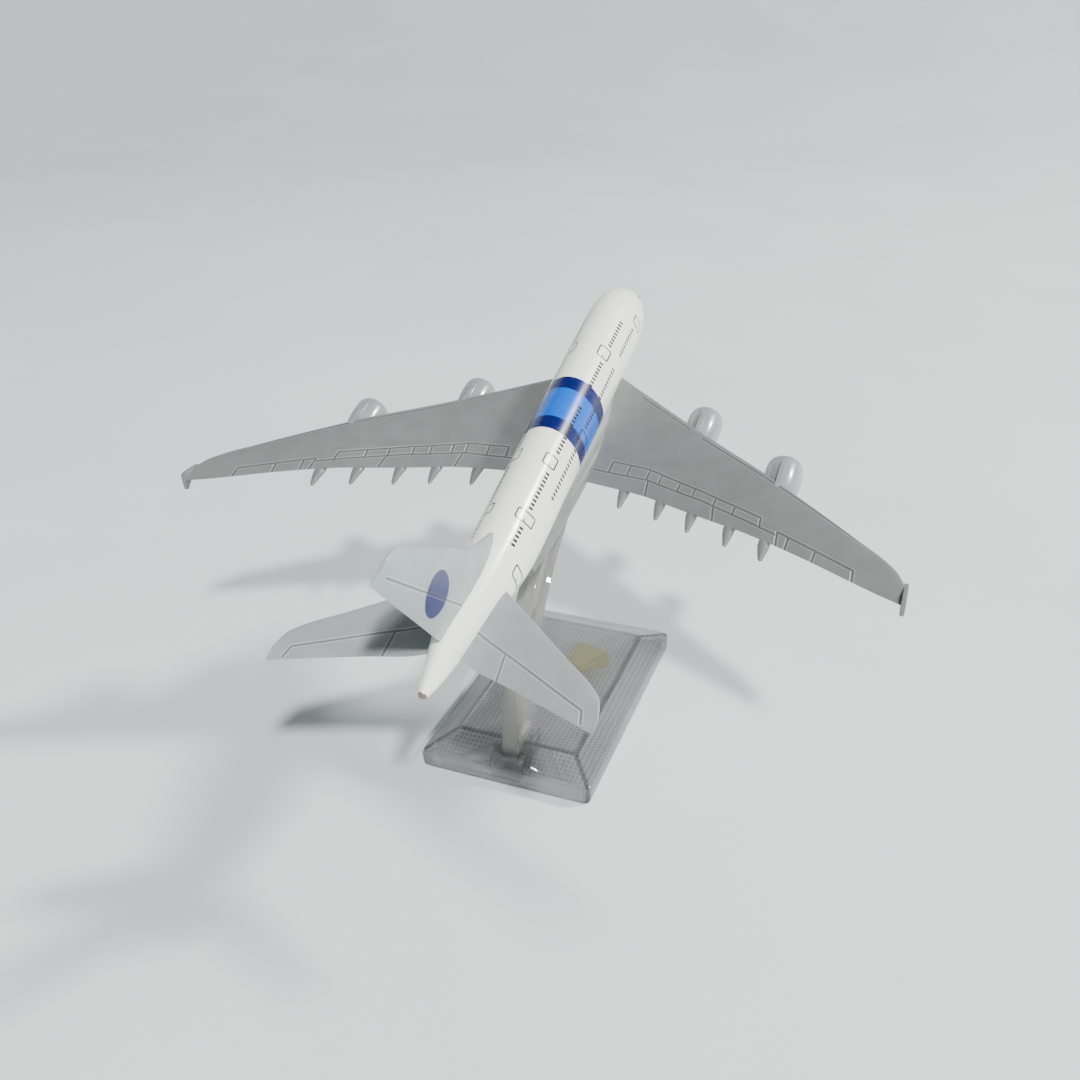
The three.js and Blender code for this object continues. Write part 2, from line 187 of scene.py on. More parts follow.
# ---------- material helpers ----------
def linear(r, g, b):
    """An sRGB colour of 0-255 steps as a linear one."""
    def one(v):
        v /= 255
        return v / 12.92 if v <= 0.04045 else ((v + 0.055) / 1.055) ** 2.4
    return (one(r), one(g), one(b), 1)


def shaded(colour, by):
    """A darker colour, or a lighter one where by is over 1."""
    return tuple(min(c * by, 1) for c in colour[:3]) + (1,)


class Paint:
    """A node material with short calls for its maths."""

    def __init__(self, name):
        self.material = bpy.data.materials.new(name)
        self.material.use_nodes = True
        self.tree = self.material.node_tree
        self.shader = self.tree.nodes["Principled BSDF"]
        self.coordinates = self.tree.nodes.new("ShaderNodeTexCoord").outputs["Object"]

    def set(self, **values):
        for key, value in values.items():
            self.shader.inputs[key.replace("_", " ")].default_value = value
        return self

    def feed(self, socket, value):
        if hasattr(value, "is_output"):
            self.tree.links.new(value, socket)
        else:
            socket.default_value = value

    def maths(self, operation, *values, clamp=False):
        node = self.tree.nodes.new("ShaderNodeMath")
        node.operation, node.use_clamp = operation, clamp
        for socket, value in zip(node.inputs, values):
            self.feed(socket, value)
        return node.outputs[0]

    def vector(self, operation, *values):
        node = self.tree.nodes.new("ShaderNodeVectorMath")
        node.operation = operation
        for socket, value in zip(node.inputs, values):
            self.feed(socket, value)
        return node.outputs["Value" if operation in ("LENGTH", "DISTANCE", "DOT_PRODUCT") else "Vector"]

    def split(self, vector):
        node = self.tree.nodes.new("ShaderNodeSeparateXYZ")
        self.feed(node.inputs[0], vector)
        return node.outputs

    def noise(self, scale, detail=3, roughness=0.5, vector=None):
        node = self.tree.nodes.new("ShaderNodeTexNoise")
        node.inputs["Scale"].default_value = scale
        node.inputs["Detail"].default_value = detail
        node.inputs["Roughness"].default_value = roughness
        self.feed(node.inputs["Vector"], vector or self.coordinates)
        return node.outputs[0]

    def mix(self, factor, a, b):
        """Blends two colours; a mix node takes them at inputs 6 and 7 and gives output 2."""
        node = self.tree.nodes.new("ShaderNodeMix")
        node.data_type = "RGBA"
        self.feed(node.inputs[0], factor)
        self.feed(node.inputs[6], a)
        self.feed(node.inputs[7], b)
        return node.outputs[2]

    def step(self, value, start, end):
        """0 below start and 1 above end, smoothly."""
        node = self.tree.nodes.new("ShaderNodeMapRange")
        node.interpolation_type = "SMOOTHSTEP"
        self.feed(node.inputs["Value"], value)
        node.inputs["From Min"].default_value, node.inputs["From Max"].default_value = start, end
        return node.outputs["Result"]

    def band(self, value, middle, half, soft):
        """1 where value lies within half of middle, fading over soft to either side."""
        off = self.maths("ABSOLUTE", self.maths("SUBTRACT", value, middle))
        return self.maths("SUBTRACT", 1, self.step(off, half - soft, half + soft))

    def radius(self, u, v):
        return self.maths("SQRT", self.maths("MULTIPLY_ADD", u, u, self.maths("MULTIPLY", v, v)))

    def highest(self, values):
        best = values[0]
        for value in values[1:]:
            best = self.maths("MAXIMUM", best, value)
        return best

    def bump(self, height, distance, strength=1.0, before=None):
        node = self.tree.nodes.new("ShaderNodeBump")
        node.inputs["Distance"].default_value = distance * MM
        node.inputs["Strength"].default_value = strength
        self.feed(node.inputs["Height"], height)
        if before:
            self.feed(node.inputs["Normal"], before)
        self.feed(self.shader.inputs["Normal"], node.outputs[0])
        return node.outputs[0]

    def craft_axes(self):
        """x, station and height in mm, in the airliner's own axes."""
        local = self.vector("SUBTRACT", self.coordinates, tuple(DATUM))
        turn = self.tree.nodes.new("ShaderNodeVectorRotate")
        turn.rotation_type = "X_AXIS"
        self.feed(turn.inputs["Vector"], local)
        turn.inputs["Angle"].default_value = -PITCH
        x, ahead, up = self.split(turn.outputs[0])
        x, ahead, up = (self.maths("MULTIPLY", value, PER_METRE) for value in (x, ahead, up))
        return x, self.maths("SUBTRACT", NOSE_AHEAD, ahead), up

    def nearest_line(self, u, v, segments):
        """Distance in mm from (u, v) to the nearest of the line segments."""
        best = None
        for (u0, v0), (u1, v1) in segments:
            length2 = (u1 - u0) ** 2 + (v1 - v0) ** 2
            du, dv = self.maths("SUBTRACT", u, u0), self.maths("SUBTRACT", v, v0)
            along = self.maths("MULTIPLY_ADD", du, (u1 - u0) / length2,
                               self.maths("MULTIPLY", dv, (v1 - v0) / length2), clamp=True)
            off_u = self.maths("MULTIPLY_ADD", along, -(u1 - u0), du)
            off_v = self.maths("MULTIPLY_ADD", along, -(v1 - v0), dv)
            distance = self.radius(off_u, off_v)
            best = distance if best is None else self.maths("MINIMUM", best, distance)
        return best

    def feed_colours(self, colour):
        """Feeds one colour to both colour sockets of a clear plastic."""
        self.colour = colour
        for socket in self.colour_sockets:
            self.feed(socket, colour)

    def recolour(self, factor, colour):
        """Mixes a colour over the one that a clear plastic has."""
        self.feed_colours(self.mix(factor, self.colour, colour))

    def apply(self, *objects):
        for obj in objects:
            obj.data.materials.clear()
            obj.data.materials.append(self.material)
        return self


# ---------- colours ----------
CREAM = linear(236, 238, 226)
NAVY = linear(6, 18, 84)
AZURE = linear(0, 88, 190)
INK = linear(3, 4, 6)
WING_GREY = linear(106, 109, 108)
TAIL_GREY = linear(138, 143, 146)
FIN_GREY = linear(148, 157, 157)
NACELLE_GREY = linear(136, 138, 139)
ENGINE_DARK = linear(70, 72, 76)
OUTLET_BROWN = linear(104, 88, 76)
DUST = linear(170, 168, 160)
SCREW_STEEL = linear(150, 150, 150)
LABEL_YELLOW = linear(206, 206, 72)
PLINTH_CLEAR = linear(220, 219, 221)
ARM_CLEAR = linear(190, 187, 183)
# painted shade: the dark look of the clear plinth's dimples
DIMPLE_PAINTED_SHADE = linear(70, 70, 73)
# painted shade: the dark lines along the clear plinth's edges
EDGE_PAINTED_SHADE = linear(112, 110, 118)
FLOOR_TONES = linear(214, 221, 221), linear(207, 215, 214)

# ---------- fuselage ----------
NOSE_TIP = (0.16, -2.6)                  # station, height
# station, half width, top, bottom
FUSELAGE = [
    (NOSE_TIP[0], 0, NOSE_TIP[1], NOSE_TIP[1]),
    (0.9, 1.85, -0.6, -4.35), (2.2, 3.2, 1.2, -5.7), (4.5, 4.7, 3.4, -6.9),
    (7.5, 5.9, 5.7, -7.8), (11, 6.9, 7.57, -8.5), (15, 7.5, 8.64, -8.9), (20, 7.8, 9.2, -9.1),
    (30, 7.85, 9.3, -9.2), (95, 7.85, 9.3, -9.2), (105, 7.7, 9.3, -8.4), (115, 7.1, 9.2, -6.6),
    (125, 5.9, 8.9, -4.2), (134, 4.5, 8.2, -2.1), (142, 3.0, 7.0, -0.3), (148, 1.8, 5.6, 1.3),
    (151, 1.0, 4.7, 2.7)]
NOSE_ROUND = 9.0     # stations are spread by their square root ahead of here, to keep the nose round
NOSE_RINGS, BODY_RINGS, BODY_END = 22, 160, 150.7
OUTLET = (151.15, 3.7, 0.82, 0.85)       # station, height, half width and half height of the tail's outlet
OUTLET_BACK = 151.2                      # station
RING_POINTS = 96
WAIST_DROP = 0.05    # the widest level lies this fraction of the height under the middle


def spread(station):
    return math.sqrt(station * NOSE_ROUND) if station < NOSE_ROUND else station


FUSELAGE_CURVES = columns(FUSELAGE, spread)


def egg(station, curves=FUSELAGE_CURVES, key=spread):
    """A ring round the fuselage or the fairing, widest a little below its middle."""
    half, top, bottom = (curve(key(station)) for curve in curves)
    waist = (top + bottom) / 2 - WAIST_DROP * (top - bottom)
    ring = []
    for angle in turns(RING_POINTS):
        reach = top - waist if math.sin(angle) > 0 else waist - bottom
        ring.append(craft(half * math.cos(angle), station, waist + reach * math.sin(angle)))
    return ring


def fuselage():
    tip = NOSE_TIP[0]
    nose = [tip + (NOSE_ROUND - tip) * (i / NOSE_RINGS) ** 2 for i in range(1, NOSE_RINGS)]
    body = [NOSE_ROUND + i * (BODY_END - NOSE_ROUND) / BODY_RINGS for i in range(BODY_RINGS + 1)]
    station, height, wide, tall = OUTLET
    end = [craft(wide * math.cos(angle), station, height + tall * math.sin(angle))
           for angle in turns(RING_POINTS)]
    shape = Shape()
    shape.loft([egg(s) for s in nose + body] + [end], craft(0, *NOSE_TIP), craft(0, OUTLET_BACK, height))
    return shape.build("fuselage_casting")


HOOP_START = 53                          # station
HOOPS = [(4.5, NAVY), (11, AZURE), (4.5, NAVY)]             # width along the fuselage, colour
GIRTH_PER_DEGREE = 0.158                 # mm round the skin
PAINT_EDGE = 0.05                        # mm to either side over which one paint gives way to the next
WINDOW_PITCH, PANE_HALF_WIDTH = 1.3, 0.36
# degrees from the top centre line, half height in degrees, stations that each run spans
WINDOW_ROWS = [(39.5, 3.9, [(24.5, 36.6), (42.6, 57), (61, 79.6), (85, 99), (103.4, 111)]),
               (66.5, 3.6, [(21, 36), (39.5, 65.5), (70.6, 92)])]
# first and last station, upper and lower edge in degrees from the top centre line
DOORS = [(37.5, 41.4, 24, 47), (80.6, 84.2, 23, 46), (99.7, 102.7, 22, 55),
         (112.8, 115.8, 60, 90), (66.2, 69.9, 60, 83), (17.2, 20.2, 60, 84)]
DOOR_CORNER, DOOR_LINE = 0.5, 0.2        # corner radius, half width of the outline
HANDLE_FORE, HANDLE_AFT = 0.9, 0.35      # how far the handle's ends are from the door's rear edge
# slope and height of the middle of the flight deck's glazing, half height of it, its middle station and
# half length, and the spacing of its pillars
GLAZING = {"slope": 0.28, "height": 0.55, "half": 0.66, "station": 5.25, "half_long": 2.2, "pillars": 1.75}
# the ellipse that angles round the skin are taken from: half width, half height, distance below height 0
GIRTH_ELLIPSE = (7.85, 10.175, 0.875)
OUTLET_DARK = (150.6, 150.9)             # stations between which the cream gives way to bare dark metal


def hoops(paint, station):
    """Plain upright hoops round the fuselage."""
    colour, edge = CREAM, HOOP_START
    for width, hoop_colour in HOOPS + [(0, CREAM)]:
        colour = paint.mix(paint.step(station, edge - PAINT_EDGE, edge + PAINT_EDGE), colour, hoop_colour)
        edge += width
    return colour


def cabin_windows(paint, station, phi):
    """Two rows of small upright panes."""
    place = paint.maths("FLOORED_MODULO", station, WINDOW_PITCH)
    pane = paint.band(place, WINDOW_PITCH / 2, PANE_HALF_WIDTH, 0.04)
    marks = []
    for middle, half, spans in WINDOW_ROWS:
        row = paint.maths("MULTIPLY", pane, paint.band(phi, middle, half, 0.35))
        for start, end in spans:
            low = math.ceil(start / WINDOW_PITCH) * WINDOW_PITCH
            high = math.floor(end / WINDOW_PITCH) * WINDOW_PITCH
            run = paint.band(station, (low + high) / 2, (high - low) / 2, 0.01)
            marks.append(paint.maths("MULTIPLY", row, run))
    return paint.highest(marks)


def door_outlines(paint, station, phi):
    """Rounded outlines with a small handle mark in each."""
    girth = paint.maths("MULTIPLY", phi, GIRTH_PER_DEGREE)
    marks = []
    for fore, aft, upper, lower in DOORS:
        middle = (upper + lower) / 2 * GIRTH_PER_DEGREE
        half_long, half_tall = (aft - fore) / 2, (lower - upper) / 2 * GIRTH_PER_DEGREE
        spans = ((station, (fore + aft) / 2, half_long), (girth, middle, half_tall))
        outs = [paint.maths("SUBTRACT", paint.maths("ABSOLUTE", paint.maths("SUBTRACT", value, centre)),
                            half - DOOR_CORNER) for value, centre, half in spans]
        corner = paint.radius(*(paint.maths("MAXIMUM", out, 0) for out in outs))
        flat = paint.maths("MINIMUM", paint.maths("MAXIMUM", *outs), 0)
        marks.append(paint.band(paint.maths("ADD", corner, flat), DOOR_CORNER, DOOR_LINE, 0.04))
        ends = ((aft - HANDLE_FORE, middle), (aft - HANDLE_AFT, middle))
        handle = paint.nearest_line(station, girth, [ends])
        marks.append(paint.maths("SUBTRACT", 1, paint.step(handle, 0.12, 0.2)))
    return paint.highest(marks)


def flight_deck(paint, side, station, z):
    """A slanted strip of panes split by thin pillars."""
    level = paint.maths("MULTIPLY_ADD", station, GLAZING["slope"], GLAZING["height"])
    height = paint.maths("SUBTRACT", z, level)
    strip = paint.maths("MULTIPLY", paint.band(height, 0, GLAZING["half"], 0.04),
                        paint.band(station, GLAZING["station"], GLAZING["half_long"], 0.05))
    beside = paint.maths("FLOORED_MODULO", side, GLAZING["pillars"])
    return paint.maths("MULTIPLY", strip, paint.step(beside, 0.12, 0.18))


def fuselage_paint():
    paint = Paint("fuselage_enamel")
    x, station, z = paint.craft_axes()
    side = paint.maths("ABSOLUTE", x)
    half_wide, half_tall, below = GIRTH_ELLIPSE
    angle = paint.maths("ARCTAN2", paint.maths("DIVIDE", side, half_wide),
                        paint.maths("DIVIDE", paint.maths("ADD", z, below), half_tall))
    phi = paint.maths("MULTIPLY", angle, 180 / math.pi)       # degrees from the top centre line
    ink = paint.highest([cabin_windows(paint, station, phi), door_outlines(paint, station, phi),
                         flight_deck(paint, side, station, z)])
    colour = paint.mix(ink, hoops(paint, station), INK)
    colour = paint.mix(paint.step(station, *OUTLET_DARK), colour, OUTLET_BROWN)
    dust = paint.step(paint.noise(900, 4), 0.55, 0.8)
    colour = paint.mix(paint.maths("MULTIPLY", dust, 0.06), colour, DUST)
    paint.feed(paint.shader.inputs["Base Color"], colour)
    paint.feed(paint.shader.inputs["Roughness"], paint.maths("MULTIPLY_ADD", paint.noise(350, 3), 0.14, 0.20))
    paint.set(Coat_Weight=0.2, Coat_Roughness=0.08, Specular_IOR_Level=0.4)
    ripple = paint.maths("MULTIPLY", paint.noise(420, 2), 0.7)
    paint.bump(paint.maths("ADD", ripple, paint.maths("MULTIPLY", ink, 0.25)), 0.05, 0.5)
    return paint


# ---------- belly fairing ----------
# station, half width, top, bottom
FAIRING = [
    (27, 3.0, -7.6, -9.9), (33, 7.3, -4.6, -10.5), (40, 8.9, -3.2, -11.0), (50, 9.5, -2.4, -11.2),
    (62, 9.6, -1.4, -11.2), (74, 9.5, -0.2, -11.2), (84, 9.1, 0.6, -10.9), (94, 8.7, 0.8, -10.1),
    (101, 8.2, 0.2, -8.9), (106, 7.0, -2.2, -8.6)]
FAIRING_RINGS = 110
PEG_SLOT = ((-1.5, 62.7, -13), (1.5, 71.3, -3.5))      # x, station, height


def fairing():
    curves = columns(FAIRING)
    start, end = FAIRING[0][0], FAIRING[-1][0]
    rings = [egg(start + i * (end - start) / FAIRING_RINGS, curves, lambda s: s)
             for i in range(FAIRING_RINGS + 1)]
    shape = Shape()
    shape.loft(rings)
    return cut(shape.build("belly_casting"), block(*PEG_SLOT, craft))


# ---------- flying surfaces ----------
FLATTER_BELOW, REAR_EDGE, SECTION_POINTS = 0.8, 0.03, 26     # the trailing edge is a little blunt


def section_offset(along, upper):
    """Height of a streamlined section as a fraction of its greatest, flatter below than above."""
    form = 2.969 * math.sqrt(along) - 1.26 * along - 3.516 * along**2 + 2.843 * along**3 - 1.036 * along**4
    return max(form, 0) * (1.0 if upper else -FLATTER_BELOW)


def aerofoil():
    """The section's outline: fraction of the chord, height."""
    chord = [0.5 - 0.5 * math.cos(math.pi * i / SECTION_POINTS) for i in range(SECTION_POINTS + 1)]
    upper = [(c, section_offset(c, True) + REAR_EDGE * c) for c in chord]
    lower = [(c, section_offset(c, False) - REAR_EDGE * c) for c in reversed(chord[1:])]
    return upper + lower


SECTION = aerofoil()
# x, station of the front edge, station of the rear edge, height, thickness
WING = [
    (5, 30.5, 72.4, -7.1, 4.8), (10, 34.1, 73.3, -6.9, 4.4), (17.5, 40, 75.0, -6.0, 3.6),
    (25, 46, 77.0, -5.0, 3.0), (34, 53, 80.4, -3.9, 2.5), (43, 60, 84.0, -2.5, 2.1),
    (52, 67.1, 87.7, -0.9, 1.8), (60, 73.5, 91.2, 0.1, 1.6), (69, 80.6, 95.3, 0.9, 1.35),
    (77, 87, 99.1, 1.5, 1.15), (83, 91.8, 101.8, 1.9, 1.0), (86, 95.0, 103.0, 2.1, 0.9),
    (88, 98.6, 103.9, 2.2, 0.8)]
TAILPLANE = [
    (1.5, 115.4, 138.6, 2.3, 2.2), (6.5, 119.5, 141, 2.3, 2.0), (16, 127.1, 144.2, 3.1, 1.6),
    (26, 135.1, 147.7, 3.8, 1.2), (33, 140.7, 150.2, 4.3, 0.95), (35.4, 143.6, 151.1, 4.4, 0.85),
    (36.3, 147.2, 151.4, 4.5, 0.7)]
WING_RINGS, TAILPLANE_RINGS, TIP_CROWDING = 120, 60, 1.25    # rings lie closer together towards the tip
FLAP_TRACKS = [(19.6, 12), (29.7, 12), (38.2, 12), (48.0, 11), (56.8, 10)]       # x, length
FLAP_TRACK_TAIL = 4.9       # how far they stick out behind the trailing edge
FLAP_TRACK_RINGS, FLAP_TRACK_POINTS = 33, 24
FENCE = [(97.4, 2.2), (99.9, 3.1), (102.6, 3.9), (103.6, 3.7), (104.0, 2.2), (104.4, -0.3), (103.8, -0.6),
         (101.6, 0.7)]      # station, height
FENCE_LAYERS = ((87.5, 0.9), (87.65, 1), (88.4, 1), (88.55, 0.9))       # x, scale of the outline
# how far along a flap track, half width, half height, drop of its axis from the chord line
TRACK_FORM = [
    (0, 0.1, 0.1, -0.9), (0.08, 0.7, 0.45, -0.9), (0.3, 1.2, 0.9, -1.0), (0.55, 1.4, 1.0, -0.85),
    (0.64, 1.3, 0.8, -0.8), (0.8, 0.95, 0.6, -1.0), (0.93, 0.62, 0.4, -1.25), (0.985, 0.42, 0.28, -1.35),
    (1, 0.1, 0.1, -1.38)]


def surface_rings(table, count, side):
    """Sections from root to tip of a wing or tailplane."""
    curves = columns(table)
    start, end = table[0][0], table[-1][0]
    rings = []
    for i in range(count + 1):
        x = start + (end - start) * (1 - (1 - i / count) ** TIP_CROWDING)
        front, rear, z, thickness = (curve(x) for curve in curves)
        rings.append([craft(side * x, front + c * (rear - front), z + h * thickness / 2) for c, h in SECTION])
    return rings


def flap_track(shape, x, length, side):
    curves = columns(WING)
    rear, z = curves[1](x) + FLAP_TRACK_TAIL, curves[2](x)
    form = columns(TRACK_FORM)
    rings = []
    for i in range(FLAP_TRACK_RINGS):
        along = i / (FLAP_TRACK_RINGS - 1)
        half, tall, drop = (curve(along) for curve in form)
        rings.append([craft(side * (x + half * math.cos(turn)), rear - length * (1 - along),
                            z + drop + tall * math.sin(turn)) for turn in turns(FLAP_TRACK_POINTS)])
    shape.loft(rings)


def fence(shape, side):
    """The small upright plate at the wing tip."""
    middle = np.mean(np.array(FENCE), axis=0)
    shape.loft([[craft(side * x, *(middle + (np.array(p) - middle) * scale)) for p in FENCE]
                for x, scale in FENCE_LAYERS])


def wing(side):
    shape = Shape()
    shape.loft(surface_rings(WING, WING_RINGS, side))
    for x, length in FLAP_TRACKS:
        flap_track(shape, x, length, side)
    fence(shape, side)
    return shape.build(("right" if side > 0 else "left") + "_wing_casting", 50)


def tailplane(side):
    shape = Shape()
    shape.loft(surface_rings(TAILPLANE, TAILPLANE_RINGS, side))
    return shape.build(("right" if side > 0 else "left") + "_tailplane_casting", 50)


# height, station of the front edge, station of the rear edge, thickness
FIN = [
    (4, 104, 138.6, 3.4), (7.8, 107, 139.8, 3.3), (9.2, 109.2, 140.5, 3.0), (12.5, 115.6, 142, 2.5),
    (16.5, 121.4, 143.8, 2.2), (24, 128.4, 147.2, 1.8), (33, 136.8, 151.3, 1.45), (39.5, 142.8, 154.2, 1.2),
    (41.4, 145.4, 155.1, 1.0), (42.1, 148.4, 155.45, 0.75)]
FIN_RINGS, FIN_TIP_CROWDING = 90, 1.3
FULL_HEIGHT = 0.95                       # the section height that counts as the fin's full thickness
FLARE, FLARE_FOOT, FLARE_FADE = 1.6, 7.6, 1.6      # added thickness at the foot, height it starts to fade at
FIN_DISC = (137.2, 19.8, 4.95, 5.1)      # station, height, radius where its edge starts and ends


def fin():
    curves = columns(FIN)
    rings = []
    foot, top = FIN[0][0], FIN[-1][0]
    for i in range(FIN_RINGS + 1):
        z = foot + (top - foot) * (1 - (1 - i / FIN_RINGS) ** FIN_TIP_CROWDING)
        front, rear, thickness = (curve(z) for curve in curves)
        flare = FLARE * math.exp(-max(z - FLARE_FOOT, 0) / FLARE_FADE)
        ring = []
        for c, h in SECTION:
            half = (thickness + flare * math.sin(math.pi * min(c * 1.1, 1))) / 2
            half *= 1 if h > 0 else 1 / FLATTER_BELOW      # the fin is alike on both sides
            ring.append(craft(h / FULL_HEIGHT * half, front + c * (rear - front), z))
        rings.append(ring)
    shape = Shape()
    shape.loft(rings)
    return shape.build("fin_casting", 50)


def fin_mark(paint):
    """A plain disc."""
    _, station, z = paint.craft_axes()
    socket = paint.shader.inputs["Base Color"]
    colour = socket.links[0].from_socket
    middle, height, start, end = FIN_DISC
    across, up = paint.maths("SUBTRACT", station, middle), paint.maths("SUBTRACT", z, height)
    disc = paint.maths("SUBTRACT", 1, paint.step(paint.radius(across, up), start, end))
    paint.feed(socket, paint.mix(disc, colour, NAVY))


def line_chain(points):
    """The segments that join each point to the next."""
    return list(zip(points[:-1], points[1:]))


# lines on the wings: x, station
SPOILER_FRONT = [(14.4, 66.2), (24.1, 68.3), (38.5, 74.7), (54.5, 83.0)]
FLAP_HINGE = [(9.6, 68.9), (24.6, 71.9), (39.3, 77.8), (54.6, 85.7), (58.6, 87.7)]


def between(chain, x):
    """The station of a line at x."""
    return float(np.interp(x, [p[0] for p in chain], [p[1] for p in chain]))


def wing_lines():
    """The slats, spoilers, flaps and ailerons, as segments."""
    lines = line_chain([(14.7, 40.6), (27.3, 50.1), (30.5, 52.5)]) + [((34.2, 55.6), (84, 92.6))]
    lines += line_chain(SPOILER_FRONT + [(54.7, 85.5)]) + line_chain(FLAP_HINGE)
    for x in (14.1, 19.1, 24.5, 27.9, 33.1, 37.2, 42.9, 48.0):
        lines.append(((x, between(SPOILER_FRONT, max(x, 14.4))), (x - 0.3, between(FLAP_HINGE, x))))
    lines += [((24.8, 72.3), (25.3, 77)), ((42.8, 80.2), (43.4, 84.0))]
    lines += [((59, 86.9), (76.7, 96.0)), ((59, 86.9), (59.3, 91.0)), ((61.7, 88.7), (61.5, 92.1)),
              ((68.1, 91.7), (67.8, 94.8)), ((76.7, 96.0), (76.9, 99.0))]
    return lines


def grey_casting(name, colour, lines, axes=(0, 1), roughness=0.3, peel=1.0):
    """Satin enamel over a casting, with sunk panel lines between slightly raised lips; painted shade darkens
    the lines and a painted highlight lightens the lips.
    """
    paint = Paint(name)
    places = paint.craft_axes()
    u, v = places[axes[0]], places[axes[1]]
    if axes[0] == 0:
        u = paint.maths("ABSOLUTE", u)
    near = paint.nearest_line(u, v, lines)
    groove = paint.maths("SUBTRACT", 1, paint.step(near, 0.08, 0.32))
    lip = paint.band(near, 0.46, 0.12, 0.12)
    shade = paint.mix(paint.step(paint.noise(180, 4), 0.35, 0.7), colour, shaded(colour, 0.9))
    specks = paint.maths("MULTIPLY", paint.step(paint.noise(1500, 2), 0.68, 0.75), 0.4)
    shade = paint.mix(specks, shade, shaded(colour, 0.45))
    # painted highlight: the lips beside each sunk line are drawn lighter
    shade = paint.mix(paint.maths("MULTIPLY", lip, 0.5), shade, shaded(colour, 1.6))
    # painted shade: the sunk lines are drawn darker
    shade = paint.mix(paint.maths("MULTIPLY", groove, 0.6), shade, shaded(colour, 0.25))
    paint.feed(paint.shader.inputs["Base Color"], shade)
    uneven = paint.maths("MULTIPLY_ADD", paint.noise(600, 3), 0.2, roughness)
    paint.feed(paint.shader.inputs["Roughness"], uneven)
    paint.set(Coat_Weight=0.25, Coat_Roughness=0.15)
    pebble = paint.maths("MULTIPLY", paint.noise(1100, 3), 0.4 * peel)
    raised = paint.maths("MULTIPLY_ADD", lip, 0.35, pebble)
    paint.bump(paint.maths("SUBTRACT", raised, groove), 0.16, 0.8)
    return paint


# ---------- engines ----------
ENGINES = {"inner": (32.2, 41.3, -9.0), "outer": (56.2, 60.2, -4.9)}      # x, station of the lip, height
# profiles: distance behind the intake lip, radius
COWL = [
    (0.25, 3.78), (0.0, 4.0), (0.12, 4.2), (0.5, 4.38), (1.3, 4.53), (2.5, 4.6), (4.5, 4.6), (6.5, 4.5),
    (8.5, 4.22), (10.2, 3.82), (11.2, 3.45), (11.2, 3.25), (10.2, 3.42), (8, 3.65), (4, 3.75), (2.2, 3.62),
    (1.2, 3.5), (0.6, 3.58)]
CORE = [
    (3.9, 0.02), (3.95, 2.25), (6, 2.4), (9, 2.2), (11.4, 1.75), (11.5, 1.2), (12.2, 1.1), (13.4, 0.65),
    (14.4, 0.03)]
SPINNER = [(1.2, 0.03), (1.35, 0.3), (1.7, 0.6), (2.2, 0.88), (2.7, 1.0), (3.5, 1.0), (3.5, 0.03)]
BLADES, BLADE_HALF_CHORD, BLADE_HALF_THICKNESS = 22, 0.62, 0.06
BLADES_BACK = 2.75                       # distance behind the intake lip
BLADE_SET, BLADE_LAP = 0.5, 0.45         # added to every angle, share of the chord's reach round the disc
BLADE_TWIST = [(0.9, 0.75), (1.8, 0.55), (2.6, 0.4), (3.3, 0.3)]      # radius, angle
STRUT_LAYERS = ((-0.62, 0.985), (-0.4, 1.0), (0.4, 1.0), (0.62, 0.985))      # offset sideways, scale


def turned_rings(profile, place, around, side):
    """Rings of a body that is round about a fore-and-aft line."""
    x, lip, z = place
    return [[craft(side * (x + radius * math.cos(turn)), lip + along, z + radius * math.sin(turn))
             for turn in turns(around)] for along, radius in profile]


def blade_ring(place, side, turn, radius, twist):
    """The four corners of a fan blade's section."""
    x, lip, z = place
    ring = []
    for along, face in ((-1, -1), (1, -1), (1, 1), (-1, 1)):
        chord = along * BLADE_HALF_CHORD
        sideways = chord * math.sin(twist + BLADE_SET) * BLADE_LAP + face * BLADE_HALF_THICKNESS
        back = BLADES_BACK + chord * math.cos(twist + BLADE_SET)
        angle = turn + sideways / radius
        ring.append(craft(side * (x + radius * math.cos(angle)), lip + back, z + radius * math.sin(angle)))
    return ring


def fan_disc(place, side, name):
    """The spinner with its blades."""
    fan = Shape().loft(turned_rings(SPINNER, place, 40, side))
    for turn in turns(BLADES):
        fan.loft([blade_ring(place, side, turn, radius, twist) for radius, twist in BLADE_TWIST])
    return fan.build(name + "_fan_blades", 30)


def strut(place, side, name):
    """The pylon, a plate with eased edges between the nacelle and the wing."""
    x, lip, z = place
    curves = columns(WING)
    front, height = curves[0](x), curves[2](x)
    # station, height: the top from front to rear, then the underside back to the front
    outline = [
        (lip + 1.2, z + 4.45), (lip + 3, z + 4.95), (lip + 6, z + 5.25),
        (front - 1, max(height + 0.5, z + 5.1)), (front + 1.5, height + 0.7), (front + 4, height + 0.2),
        (front + 9, height - 0.7), (front + 9.6, height - 1.2),
        (front + 4, z + 2.4), (lip + 9, z + 2.7), (lip + 5, z + 4.2), (lip + 1.6, z + 4.25)]
    middle = np.mean(np.array(outline), axis=0)
    rings = [[craft(side * (x + off), *(middle + (np.array(p) - middle) * grow)) for p in outline]
             for off, grow in STRUT_LAYERS]
    return Shape().loft(rings).build(name + "_strut", 60)


def engine(side, position):
    place = ENGINES[position]
    name = ("right_" if side > 0 else "left_") + position
    cowl = Shape().torus_like(turned_rings(COWL, place, 72, side)).build(name + "_cowl", 40)
    core = Shape().loft(turned_rings(CORE, place, 48, side)).build(name + "_core", 45)
    fan, pylon = fan_disc(place, side, name), strut(place, side, name)
    claim(cowl, "airliner", "nacelle_grey", name + "_nacelle")
    claim(core, "airliner", "engine_dark", name + "_exhaust_cone")
    claim(fan, "airliner", "engine_dark", name + "_fan")
    claim(pylon, "airliner", "nacelle_grey", name + "_pylon")
    return cowl, core, fan, pylon


# ---------- belly screws ----------
SCREW_FACE = -11.3                       # height of the screws' faces
